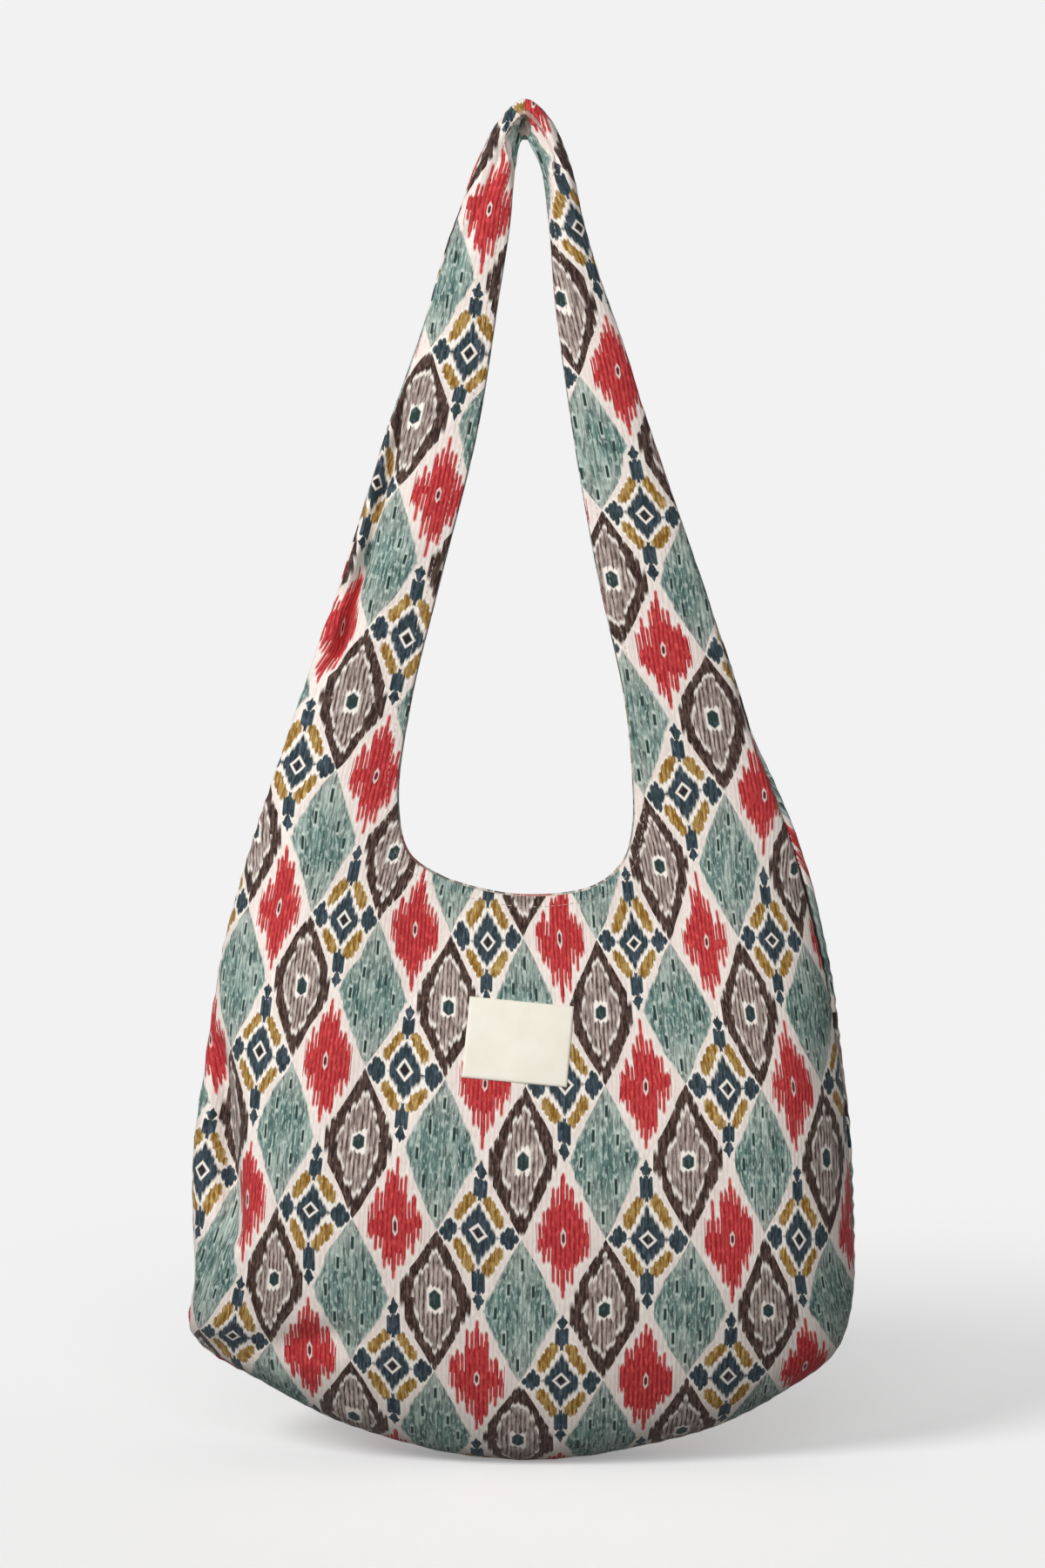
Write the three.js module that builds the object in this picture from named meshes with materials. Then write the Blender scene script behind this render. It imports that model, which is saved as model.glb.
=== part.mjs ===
// Slouchy shoulder bag of printed cotton canvas, as it hangs by its strap.
// A front and a back panel are each cut in one piece with the two arms of the strap. They are sewn together
// up both sides, along the outer fold of the strap and under the base. Their free edges are turned in as a
// narrow hem, round the mouth and up the inside of the strap. A small cloth label lies on the front.
// Millimetres, +Z up, +X to the right of someone who looks at the front, and the front faces -Y.
// The origin is under the top fold of the strap, where a hook or a shoulder carries the bag.
import * as THREE from "three";

// Driving dimensions
const STRAP_DROP = 445; // under the strap's top fold down to the lowest point of the mouth
const BODY_HEIGHT = 329; // lowest point of the mouth down to the base
const BODY_WIDTH = 386; // across the body at its widest
const BODY_DEPTH = 132; // front to back where the body is fullest
const MOUTH_WIDTH = 136; // between the two arms of the strap, just above the mouth
const MOUTH_DEPTH = 52; // front to back at the lowest point of the mouth
const ARM_WIDTH = 62; // a folded arm of the strap, seen from the front, half way up
const ARM_DEPTH = 22; // a folded arm of the strap, front to back
const TOP_RISE = 20; // height of the folded strap over the hook
const TOP_DEPTH = 28; // front to back of the bunched strap over the hook
const CLOTH = 1.5; // thickness of the canvas
const HEM_WIDTH = 9; // turned hem along the mouth and the inside of the strap
const HEM_STEP = 1.5; // slope from the doubled hem to the single cloth
const SEAM_GAP = 0.3; // between the two panels along their seam
const SEAM_FORWARD = 7; // how far the right side seam is pulled round to the front
const LABEL_WIDTH = 60;
const LABEL_HEIGHT = 45;
const LABEL_THICKNESS = 0.7;
const LABEL_GAP = 0.35; // between the label and the cloth it lies on
const LABEL_DROP = 82; // lowest point of the mouth down to the label's middle
const LABEL_SIDE = -4; // label's middle from the bag's middle line
const LABEL_TILT = -5.4; // degrees, turned as it was sewn on

// Fineness of the solids
const STEPS_PER_STATION = 4;
const FRONT_STEPS = 10; // from the hem to the seam
const BACK_STEPS = 7;
const LABEL_STEPS_ACROSS = 6;
const LABEL_STEPS_DOWN = 4;
const DEPTH_STEPS = 120; // points of the depth profile
const EDGE_CROWDING = 2.2; // more than 1 sets the grid's lines closer together towards the seam
const DIFFERENCE = 0.004; // step for measuring slopes, in stations and in radians

// How square the turn from the face to the seam is: 2 and 2 make an ellipse, and more is flatter
const SIDE_TURN = { face: 2.7, edge: 2 };
const BASE_TURN = { face: 5.5, edge: 2.9 };
const MOUTH_PULL = 0.35; // how far the free edges draw in towards each other

// The outline as stations round the bag, from the top of the strap down the left side, under the base and up
// the right. An arm station: share of STRAP_DROP down, the inner edge as a share of half the mouth, the arm's
// width as a share of ARM_WIDTH, and how much higher its outer end lies, in widths.
const LEFT_ARM = [
  [0.045, 0.08, 0.35, 0.3],
  [0.12, 0.13, 0.52, 0.1],
  [0.21, 0.22, 0.65, 0],
  [0.39, 0.41, 0.87, 0],
  [0.575, 0.71, 0.95, 0],
  [0.745, 0.98, 1.08, -0.05],
  [0.875, 1.09, 1.34, -0.2],
];
const RIGHT_ARM = [
  [0.045, 0.14, 0.27, 0.2],
  [0.12, 0.2, 0.36, 0],
  [0.21, 0.25, 0.5, 0],
  [0.39, 0.41, 0.75, 0],
  [0.575, 0.62, 0.97, 0],
  [0.745, 0.86, 1.14, -0.05],
  [0.86, 0.93, 1.53, -0.28],
];
// A body station: the mouth's edge as shares of half the mouth and of STRAP_DROP, and the seam's place as
// shares of half the body and of BODY_HEIGHT. The base hangs in a point at its left corner and is round at
// its right one.
const BODY = [
  [-1.0, 0.944, -0.925, 0.13],
  [-0.72, 0.975, -0.988, 0.43],
  [-0.5, 0.987, -1.0, 0.68],
  [-0.37, 0.992, -1.012, 0.775],
  [-0.24, 0.996, -0.8, 0.865],
  [-0.1, 0.999, -0.47, 0.95],
  [0.06, 1.0, 0.02, 1.0],
  [0.24, 0.999, 0.5, 0.955],
  [0.4, 0.996, 0.79, 0.875],
  [0.52, 0.992, 0.945, 0.8],
  [0.62, 0.986, 1.0, 0.69],
  [0.74, 0.974, 0.995, 0.54],
  [0.87, 0.948, 0.965, 0.3],
  [0.93, 0.905, 0.915, 0.12],
];
// Beside the top fold: the outer edge as shares of ARM_WIDTH and TOP_RISE, and the inner edge as shares of
// half the mouth and of STRAP_DROP
const SHOULDER = { x: 0.22, z: 0.5 };
const TUCK_IN = { x: 0.05, z: 0.014 };

const half = (whole) => whole / 2;

function armStation([down, gap, width, lift], side) {
  const inner = new THREE.Vector2(side * gap * half(MOUTH_WIDTH), -down * STRAP_DROP);
  const reach = width * ARM_WIDTH;
  const outer = new THREE.Vector2(inner.x + side * reach, inner.y + lift * reach);
  return { inner, outer };
}

function bodyStation([edgeX, edgeDown, seamX, seamDown]) {
  const inner = new THREE.Vector2(edgeX * half(MOUTH_WIDTH), -edgeDown * STRAP_DROP);
  const outer = new THREE.Vector2(seamX * half(BODY_WIDTH), -STRAP_DROP - seamDown * BODY_HEIGHT);
  return { inner, outer };
}

function shoulderStation(side) {
  const inner = new THREE.Vector2(side * TUCK_IN.x * half(MOUTH_WIDTH), -TUCK_IN.z * STRAP_DROP);
  const outer = new THREE.Vector2(side * SHOULDER.x * ARM_WIDTH, SHOULDER.z * TOP_RISE);
  return { inner, outer };
}

const stations = [
  { inner: new THREE.Vector2(0, 0), outer: new THREE.Vector2(0, TOP_RISE) },
  shoulderStation(-1),
  ...LEFT_ARM.map((row) => armStation(row, -1)),
  ...BODY.map(bodyStation),
  ...RIGHT_ARM.map((row) => armStation(row, 1)).reverse(),
  shoulderStation(1),
];

function closedCurve(points) {
  const inSpace = points.map((p) => new THREE.Vector3(p.x, 0, p.y));
  return new THREE.CatmullRomCurve3(inSpace, true, "centripetal");
}
const innerLoop = closedCurve(stations.map((s) => s.inner));
const outerLoop = closedCurve(stations.map((s) => s.outer));

// Half the bag's depth at each height, from the top of the strap to the base
const depthProfile = new THREE.SplineCurve([
  new THREE.Vector2(TOP_RISE, half(TOP_DEPTH)),
  new THREE.Vector2(-0.12 * STRAP_DROP, half(ARM_DEPTH)),
  new THREE.Vector2(-0.45 * STRAP_DROP, half(ARM_DEPTH)),
  new THREE.Vector2(-0.8 * STRAP_DROP, half(ARM_DEPTH) * 1.25),
  new THREE.Vector2(-STRAP_DROP, half(MOUTH_DEPTH)),
  new THREE.Vector2(-STRAP_DROP - 0.3 * BODY_HEIGHT, half(BODY_DEPTH) * 0.8),
  new THREE.Vector2(-STRAP_DROP - 0.62 * BODY_HEIGHT, half(BODY_DEPTH)),
  new THREE.Vector2(-STRAP_DROP - BODY_HEIGHT, half(BODY_DEPTH) * 0.92),
]);
const depthTable = depthProfile.getPoints(DEPTH_STEPS);

function halfDepth(z) {
  const below = depthTable.findIndex((p) => p.x <= z);
  if (below === 0) return depthTable[0].y;
  if (below < 0) return depthTable.at(-1).y;
  const [high, low] = [depthTable[below - 1], depthTable[below]];
  return THREE.MathUtils.mapLinear(z, high.x, low.x, high.y, low.y);
}

// Round at the strap and the sides, squarer towards the base
function squareness(seamPoint) {
  const down = (-STRAP_DROP - seamPoint.z) / BODY_HEIGHT;
  const base = THREE.MathUtils.smoothstep(down, 0.4, 0.95);
  return {
    face: THREE.MathUtils.lerp(SIDE_TURN.face, BASE_TURN.face, base),
    edge: THREE.MathUtils.lerp(SIDE_TURN.edge, BASE_TURN.edge, base),
  };
}

// The smooth surface. station counts round the outline, and turn goes from 0 at the front edge of the mouth,
// over a quarter turn at the side, to a half turn at the back edge.
function smoothPoint(station, turn) {
  const along = THREE.MathUtils.euclideanModulo(station / stations.length, 1);
  const seamPoint = outerLoop.getPoint(along);
  const { face, edge } = squareness(seamPoint);
  const across = Math.sin(turn) ** (2 / face);
  const point = innerLoop.getPoint(along).lerp(seamPoint, across);
  const draw = 1 - MOUTH_PULL * (1 - across) ** 3;
  const swell = Math.abs(Math.cos(turn)) ** (2 / edge) * Math.sign(Math.cos(turn));
  point.y = -halfDepth(point.z) * draw * swell;
  return point;
}

function normalOf(surface, station, turn) {
  const low = Math.max(turn - DIFFERENCE, 0);
  const high = Math.min(turn + DIFFERENCE, Math.PI);
  const around = surface(station + DIFFERENCE, turn).sub(surface(station - DIFFERENCE, turn));
  const over = surface(station, high).sub(surface(station, low));
  return over.cross(around).normalize();
}

function turnAt(station, across) {
  const along = THREE.MathUtils.euclideanModulo(station / stations.length, 1);
  const { face } = squareness(outerLoop.getPoint(along));
  return Math.asin(Math.min(across, 1) ** (face / 2));
}

// Folds of the hanging cloth, each a groove along a line from one place to another. A place is a station
// and a share across from the mouth's edge to the side. A negative depth is a ridge.
const FRONT_FOLDS = [
  // Long tuck beside the left side seam, and the side that swells out beyond it
  { from: [9.2, 0.74], to: [11.9, 0.84], halfWidth: 10, depth: 15 },
  { from: [9.6, 0.93], to: [11.4, 0.97], halfWidth: 9, depth: -4 },
  // Two puckers on the outer edge of the left arm
  { from: [5.7, 0.6], to: [6.3, 0.97], halfWidth: 6, depth: 5 },
  { from: [6.3, 0.65], to: [6.9, 0.97], halfWidth: 6, depth: 4 },
  // Pleats down both arms from the hook
  { from: [0.3, 0.45], to: [4.2, 0.6], halfWidth: 5, depth: 5 },
  { from: [28.2, 0.35], to: [30.8, 0.5], halfWidth: 5, depth: 4 },
  // Crease beside the pointed corner
  { from: [12.3, 0.98], to: [13.6, 0.82], halfWidth: 10, depth: 7 },
  // Slack that runs down from the corners of the mouth
  { from: [10.4, 0.05], to: [12.8, 0.5], halfWidth: 20, depth: 2.5 },
  { from: [21.0, 0.08], to: [19.4, 0.55], halfWidth: 20, depth: 2.5 },
];
const BACK_FOLDS = [
  { from: [20.6, 0.72], to: [18.4, 0.82], halfWidth: 12, depth: 7 },
  { from: [10.2, 0.7], to: [12.0, 0.8], halfWidth: 12, depth: 6 },
  { from: [0.4, 0.5], to: [4.6, 0.55], halfWidth: 4, depth: 3 },
  { from: [28.6, 0.5], to: [30.6, 0.5], halfWidth: 4, depth: 3 },
  { from: [12.3, 0.98], to: [13.6, 0.82], halfWidth: 10, depth: 5 },
];
const FOLD_END = 0.25; // share of a fold's length over which it fades at either end

function foldLine(fold, back) {
  const place = ([station, across]) => {
    const turn = turnAt(station, across);
    return smoothPoint(station, back ? Math.PI - turn : turn);
  };
  return { ...fold, start: place(fold.from), end: place(fold.to) };
}
const foldLines = {
  front: FRONT_FOLDS.map((fold) => foldLine(fold, false)),
  back: BACK_FOLDS.map((fold) => foldLine(fold, true)),
};

function foldDepth(point, lines) {
  let sum = 0;
  for (const { start, end, halfWidth, depth } of lines) {
    const run = end.clone().sub(start);
    const share = point.clone().sub(start).dot(run) / run.lengthSq();
    const nearest = start.clone().addScaledVector(run, THREE.MathUtils.clamp(share, 0, 1));
    const fade = THREE.MathUtils.smoothstep(Math.min(share, 1 - share), -FOLD_END, FOLD_END);
    sum += depth * fade * Math.exp(-((point.distanceTo(nearest) / halfWidth) ** 2));
  }
  return sum;
}

function clothPoint(station, turn) {
  const point = smoothPoint(station, turn);
  const lines = turn < half(Math.PI) ? foldLines.front : foldLines.back;
  const depth = foldDepth(point, lines) * Math.abs(Math.cos(turn)) ** 0.5;
  return point.addScaledVector(normalOf(smoothPoint, station, turn), -depth);
}

// Where the side seam runs: at the outer fold, and on the right side of the body a little round to the front
const RIGHT_SIDE = { from: 18.5, to: 25.5 };

function seamTurn(station) {
  const { from, to } = RIGHT_SIDE;
  const middle = THREE.MathUtils.clamp((station - from) / (to - from), 0, 1);
  const forward = SEAM_FORWARD * Math.sin(Math.PI * middle) ** 2;
  const place = outerLoop.getPoint(station / stations.length);
  return Math.acos((forward / halfDepth(place.z)) ** (squareness(place).edge / 2));
}

// The turns of one line of the grid from a free edge to the seam, with the two edges of the hem first
function turnsAlong(station, steps, seam) {
  const along = station / stations.length;
  const length = innerLoop.getPoint(along).distanceTo(outerLoop.getPoint(along));
  const hem = Math.min(HEM_WIDTH / length, 0.4);
  const slope = Math.min((HEM_WIDTH + HEM_STEP) / length, 0.5);
  const shares = [0, hem];
  for (let k = 0; k <= steps; k++) {
    shares.push(THREE.MathUtils.lerp(1, slope, (1 - k / steps) ** EDGE_CROWDING));
  }
  return shares.map((share) => turnAt(station, share) * (seam / half(Math.PI)));
}

// A panel as a closed solid: an outer and an inner skin, joined along the free edge and along the seam
function panelGeometry(isBack, steps) {
  const lines = stations.length * STEPS_PER_STATION;
  const points = [];
  let columns = 0;
  for (let i = 0; i < lines; i++) {
    const station = i / STEPS_PER_STATION;
    const seam = seamTurn(station);
    const turns = turnsAlong(station, steps, isBack ? Math.PI - seam : seam);
    columns = turns.length;
    const line = turns.map((turn, j) => {
      const place = isBack ? Math.PI - turn : turn;
      const outer = clothPoint(station, place);
      const normal = normalOf(clothPoint, station, place);
      const layers = j < 2 ? 2 : 1;
      return { outer, normal, inner: outer.clone().addScaledVector(normal, -CLOTH * layers) };
    });
    const last = line[columns - 1];
    const inward = line[columns - 2].outer.clone().sub(last.outer).normalize().multiplyScalar(half(SEAM_GAP));
    last.outer.add(inward);
    last.inner.add(inward);
    points.push(line);
  }

  const positions = [];
  for (const line of points) for (const { outer } of line) positions.push(...outer.toArray());
  for (const line of points) for (const { inner } of line) positions.push(...inner.toArray());
  const skin = lines * columns;
  const outerAt = (i, j) => (i % lines) * columns + j;
  const innerAt = (i, j) => skin + outerAt(i, j);
  const triangles = [];
  const quad = (a, b, c, d) => {
    if (isBack) triangles.push(a, c, b, a, d, c);
    else triangles.push(a, b, c, a, c, d);
  };
  for (let i = 0; i < lines; i++) {
    for (let j = 0; j < columns - 1; j++) {
      quad(outerAt(i, j), outerAt(i, j + 1), outerAt(i + 1, j + 1), outerAt(i + 1, j));
      quad(innerAt(i, j), innerAt(i + 1, j), innerAt(i + 1, j + 1), innerAt(i, j + 1));
    }
    const end = columns - 1;
    quad(outerAt(i, 0), outerAt(i + 1, 0), innerAt(i + 1, 0), innerAt(i, 0));
    quad(outerAt(i, end), innerAt(i, end), innerAt(i + 1, end), outerAt(i + 1, end));
  }
  return indexedGeometry(positions, triangles);
}

function indexedGeometry(positions, triangles) {
  const geometry = new THREE.BufferGeometry();
  geometry.setAttribute("position", new THREE.Float32BufferAttribute(positions, 3));
  geometry.setIndex(triangles);
  geometry.computeVertexNormals();
  return geometry;
}

// The label follows the cloth under it: each of its points is dropped straight back onto the front panel
function labelGeometry(panel) {
  const ray = new THREE.Raycaster();
  const tilt = THREE.MathUtils.degToRad(LABEL_TILT);
  const dropped = (across, down) => {
    const place = new THREE.Vector2(across * LABEL_WIDTH, -down * LABEL_HEIGHT);
    place.rotateAround(new THREE.Vector2(), tilt);
    const start = new THREE.Vector3(LABEL_SIDE + place.x, -BODY_DEPTH, place.y - STRAP_DROP - LABEL_DROP);
    ray.set(start, new THREE.Vector3(0, 1, 0));
    return ray.intersectObject(panel)[0];
  };
  const outward = dropped(0, 0).face.normal;
  const rows = [];
  for (let i = 0; i <= LABEL_STEPS_DOWN; i++) {
    for (let j = 0; j <= LABEL_STEPS_ACROSS; j++) {
      rows.push(dropped(j / LABEL_STEPS_ACROSS - 0.5, i / LABEL_STEPS_DOWN - 0.5).point);
    }
  }
  const positions = [];
  for (const lift of [LABEL_GAP + LABEL_THICKNESS, LABEL_GAP]) {
    for (const point of rows) positions.push(...point.clone().addScaledVector(outward, lift).toArray());
  }
  const across = LABEL_STEPS_ACROSS + 1;
  const front = (i, j) => i * across + j;
  const rear = (i, j) => rows.length + front(i, j);
  const triangles = [];
  const quad = (a, b, c, d) => triangles.push(a, b, c, a, c, d);
  for (let i = 0; i < LABEL_STEPS_DOWN; i++) {
    for (let j = 0; j < LABEL_STEPS_ACROSS; j++) {
      quad(front(i, j), front(i + 1, j), front(i + 1, j + 1), front(i, j + 1));
      quad(rear(i, j), rear(i, j + 1), rear(i + 1, j + 1), rear(i + 1, j));
    }
  }
  const [bottom, right] = [LABEL_STEPS_DOWN, LABEL_STEPS_ACROSS];
  for (let j = 0; j < right; j++) {
    quad(front(0, j), front(0, j + 1), rear(0, j + 1), rear(0, j));
    quad(front(bottom, j), rear(bottom, j), rear(bottom, j + 1), front(bottom, j + 1));
  }
  for (let i = 0; i < bottom; i++) {
    quad(front(i, 0), rear(i, 0), rear(i + 1, 0), front(i + 1, 0));
    quad(front(i, right), front(i + 1, right), rear(i + 1, right), rear(i, right));
  }
  return indexedGeometry(positions, triangles);
}

const canvas = new THREE.MeshStandardMaterial({ color: 0xb59a8e, roughness: 0.9, metalness: 0 });
const labelCotton = new THREE.MeshStandardMaterial({ color: 0xf5efe0, roughness: 0.8, metalness: 0 });

function named(name, geometry, material) {
  const mesh = new THREE.Mesh(geometry, material);
  mesh.name = name;
  return mesh;
}

const bag = new THREE.Group();
bag.name = "shoulder_bag";
const frontPanel = named("front_panel", panelGeometry(false, FRONT_STEPS), canvas);
bag.add(frontPanel);
bag.add(named("back_panel", panelGeometry(true, BACK_STEPS), canvas));
bag.add(named("label", labelGeometry(frontPanel), labelCotton));

export default bag;
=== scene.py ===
# %% [markdown]
# A slouchy shoulder bag of printed cotton canvas, hanging by its strap. The front and the back are each
# cut in one piece with two strap arms, so the cloth runs unbroken from the base to the top fold. This
# lesson makes the draped cloth from an outline, lays a woven-look diamond print on it, and adds the hem,
# its stitches and a small label.

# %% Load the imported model
import math

import bpy
import numpy as np
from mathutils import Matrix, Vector


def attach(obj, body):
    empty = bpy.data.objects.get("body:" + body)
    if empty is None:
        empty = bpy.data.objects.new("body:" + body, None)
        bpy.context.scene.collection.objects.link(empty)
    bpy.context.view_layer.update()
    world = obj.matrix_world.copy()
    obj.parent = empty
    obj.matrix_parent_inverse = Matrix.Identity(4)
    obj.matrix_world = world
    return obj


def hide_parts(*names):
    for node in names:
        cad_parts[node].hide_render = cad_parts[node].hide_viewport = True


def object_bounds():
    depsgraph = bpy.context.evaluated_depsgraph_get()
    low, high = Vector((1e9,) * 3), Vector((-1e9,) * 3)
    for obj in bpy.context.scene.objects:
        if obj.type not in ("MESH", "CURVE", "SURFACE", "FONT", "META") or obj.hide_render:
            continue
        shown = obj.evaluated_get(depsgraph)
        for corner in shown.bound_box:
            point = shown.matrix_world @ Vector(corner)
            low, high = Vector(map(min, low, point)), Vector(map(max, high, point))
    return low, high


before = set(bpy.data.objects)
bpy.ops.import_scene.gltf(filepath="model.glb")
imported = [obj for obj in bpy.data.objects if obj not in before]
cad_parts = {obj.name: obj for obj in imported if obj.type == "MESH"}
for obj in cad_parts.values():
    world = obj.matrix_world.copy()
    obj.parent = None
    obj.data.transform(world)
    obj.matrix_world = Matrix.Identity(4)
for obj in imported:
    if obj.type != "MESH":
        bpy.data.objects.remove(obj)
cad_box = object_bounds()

print("CAD box", [[round(v, 4) for v in corner] for corner in cad_box])

# %% [markdown]
# The shape starts as an outline in the bag's own plane: an inner loop along the free edge of the mouth
# and the inside of the strap, and an outer loop along the seam. Stations count round both loops, from the
# top of the strap down the left side, under the base and up the right, so a line of cloth can be drawn
# from any place on one loop to the other. The sizes are those of the solid model, in metres.

# %% Sizes of the bag
STRAP_DROP = 0.445
BODY_HEIGHT = 0.329
BODY_WIDTH = 0.386
BODY_DEPTH = 0.132
MOUTH_WIDTH = 0.136
MOUTH_DEPTH = 0.052
ARM_WIDTH = 0.062
ARM_DEPTH = 0.022
TOP_RISE = 0.020
TOP_DEPTH = 0.028
CLOTH = 0.0015
HEM_WIDTH = 0.009
SEAM_FORWARD = 0.007
print("strap drop", STRAP_DROP, "body", BODY_WIDTH, BODY_DEPTH, BODY_HEIGHT)

# %% Stations of the outline
# An arm station: share of the strap's drop, inner edge as a share of half the mouth, arm width, lift of
# the outer end.
LEFT_ARM = [
    (0.045, 0.08, 0.35, 0.3),
    (0.12, 0.13, 0.52, 0.1),
    (0.21, 0.22, 0.65, 0),
    (0.39, 0.41, 0.87, 0),
    (0.575, 0.71, 0.95, 0),
    (0.745, 0.98, 1.08, -0.05),
    (0.875, 1.09, 1.34, -0.2),
]
RIGHT_ARM = [
    (0.045, 0.14, 0.27, 0.2),
    (0.12, 0.2, 0.36, 0),
    (0.21, 0.25, 0.5, 0),
    (0.39, 0.41, 0.75, 0),
    (0.575, 0.62, 0.97, 0),
    (0.745, 0.86, 1.14, -0.05),
    (0.86, 0.93, 1.53, -0.28),
]
# A body station: the mouth's edge as shares of half the mouth and the drop, the seam as shares of the
# body.
BODY = [
    (-1.0, 0.944, -0.925, 0.13),
    (-0.72, 0.975, -0.988, 0.43),
    (-0.5, 0.987, -1.0, 0.68),
    (-0.37, 0.992, -1.012, 0.775),
    (-0.24, 0.996, -0.8, 0.865),
    (-0.1, 0.999, -0.47, 0.95),
    (0.06, 1.0, 0.02, 1.0),
    (0.24, 0.999, 0.5, 0.955),
    (0.4, 0.996, 0.79, 0.875),
    (0.52, 0.992, 0.945, 0.8),
    (0.62, 0.986, 1.0, 0.69),
    (0.74, 0.974, 0.995, 0.54),
    (0.87, 0.948, 0.965, 0.3),
    (0.93, 0.905, 0.915, 0.12),
]
# Beside the strap's top: the seam's place as shares of the arm's width and of the top's rise, and how far
# the free edge is tucked in there, as shares of half the mouth and of the drop.
SHOULDER = (0.22, 0.5)
TUCK_IN = (0.05, 0.014)


def arm_station(row, side):
    down, gap, width, lift = row
    inner = (side * gap * MOUTH_WIDTH / 2, -down * STRAP_DROP)
    reach = width * ARM_WIDTH
    return inner, (inner[0] + side * reach, inner[1] + lift * reach)


def shoulder_station(side):
    inner = (side * TUCK_IN[0] * MOUTH_WIDTH / 2, -TUCK_IN[1] * STRAP_DROP)
    return inner, (side * SHOULDER[0] * ARM_WIDTH, SHOULDER[1] * TOP_RISE)


def body_station(row):
    edge_x, edge_down, seam_x, seam_down = row
    inner = (edge_x * MOUTH_WIDTH / 2, -edge_down * STRAP_DROP)
    return inner, (seam_x * BODY_WIDTH / 2, -STRAP_DROP - seam_down * BODY_HEIGHT)


stations = [((0, 0), (0, TOP_RISE)), shoulder_station(-1)]
stations += [arm_station(row, -1) for row in LEFT_ARM]
stations += [body_station(row) for row in BODY]
stations += [arm_station(row, 1) for row in reversed(RIGHT_ARM)]
stations += [shoulder_station(1)]
STATIONS = len(stations)
print("stations round the outline:", STATIONS)

# %% [markdown]
# A smooth closed curve goes through the stations of each loop. A centripetal Catmull-Rom spline suits it,
# because it passes through every point and doesn't overshoot where a close pair follows a far one, as at
# the strap's top.


# %% Smooth loops and the depth of the bag
def closed_spline(points):
    p1 = np.array(points, float)
    p0, p2, p3 = np.roll(p1, 1, 0), np.roll(p1, -1, 0), np.roll(p1, -2, 0)
    pairs = ((p0, p1), (p1, p2), (p2, p3))
    d0, d1, d2 = (np.linalg.norm(b - a, axis=1, keepdims=True) ** 0.5 for a, b in pairs)
    t1 = ((p1 - p0) / d0 - (p2 - p0) / (d0 + d1) + (p2 - p1) / d1) * d1
    t2 = ((p2 - p1) / d1 - (p3 - p1) / (d1 + d2) + (p3 - p2) / d2) * d1
    cubic, square = 2 * p1 - 2 * p2 + t1 + t2, -3 * p1 + 3 * p2 - 2 * t1 - t2

    def at(station):
        k = np.floor(station).astype(int) % len(p1)
        w = (station - np.floor(station))[..., None]
        return p1[k] + w * (t1[k] + w * (square[k] + w * cubic[k]))

    return at


inner_loop = closed_spline([s[0] for s in stations])
outer_loop = closed_spline([s[1] for s in stations])

DEPTH_POINTS = np.array([
    (TOP_RISE, TOP_DEPTH / 2),
    (-0.12 * STRAP_DROP, ARM_DEPTH / 2),
    (-0.45 * STRAP_DROP, ARM_DEPTH / 2),
    (-0.8 * STRAP_DROP, ARM_DEPTH / 2 * 1.25),
    (-STRAP_DROP, MOUTH_DEPTH / 2),
    (-STRAP_DROP - 0.3 * BODY_HEIGHT, BODY_DEPTH / 2 * 0.8),
    (-STRAP_DROP - 0.62 * BODY_HEIGHT, BODY_DEPTH / 2),
    (-STRAP_DROP - BODY_HEIGHT, BODY_DEPTH / 2 * 0.92),
])


def open_spline(points, steps=40):
    ends = np.vstack([points[:1], points, points[-1:]])
    w = np.linspace(0, 1, steps, endpoint=False)[:, None]
    out = []
    for a, b, c, d in zip(ends, ends[1:], ends[2:], ends[3:]):
        v0, v1 = (c - a) / 2, (d - b) / 2
        out.append((2 * b - 2 * c + v0 + v1) * w**3 + (-3 * b + 3 * c - 2 * v0 - v1) * w**2 + v0 * w + b)
    return np.vstack(out + [points[-1:]])


depth_table = open_spline(DEPTH_POINTS)[::-1]


def half_depth(z):
    return np.interp(z, depth_table[:, 0], depth_table[:, 1])


print("greatest depth", round(2 * depth_table[:, 1].max(), 4))

# %% [markdown]
# Each line of cloth swells out between the two loops and turns in at the seam. A superellipse does this:
# round on the strap and at the sides, and squarer towards the base, where the real bag is full. Near the
# strap's top the cloth is folded rather than swollen, so there it turns back along a ridge, and the swell
# is cut off at a slope.

# %% The smooth cloth
# The superellipse's powers across the face and at its edge, for the sides and for the base, and the shares
# of the body's height between which one gives way to the other.
SIDE_TURN = (2.7, 2.0)
BASE_TURN = (4.6, 2.4)
BASE_FROM = (0.4, 0.95)
MOUTH_PULL = 0.35
# On the right side the seam comes forward a little, between these stations.
SEAM_STATIONS = (18.5, 25.5)
# The ridge: a station, and the ridge's share of the way across from the free edge.
RIDGE = (
    (0, 0.50), (1.3, 0.45), (2.0, 0.20), (2.6, 0.0),
    (27.3, 0.0), (28.3, 0.25), (29.2, 0.45), (31, 0.50),
)
RIDGE_SLOPE = 1.1
RIDGE_LEAST = 0.0025


def smoothstep(x, low, high):
    t = np.clip((x - low) / (high - low), 0, 1)
    return t * t * (3 - 2 * t)


def squareness(seam_z):
    base = smoothstep((-STRAP_DROP - seam_z) / BODY_HEIGHT, *BASE_FROM)
    return [SIDE_TURN[k] + (BASE_TURN[k] - SIDE_TURN[k]) * base for k in (0, 1)]


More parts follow.
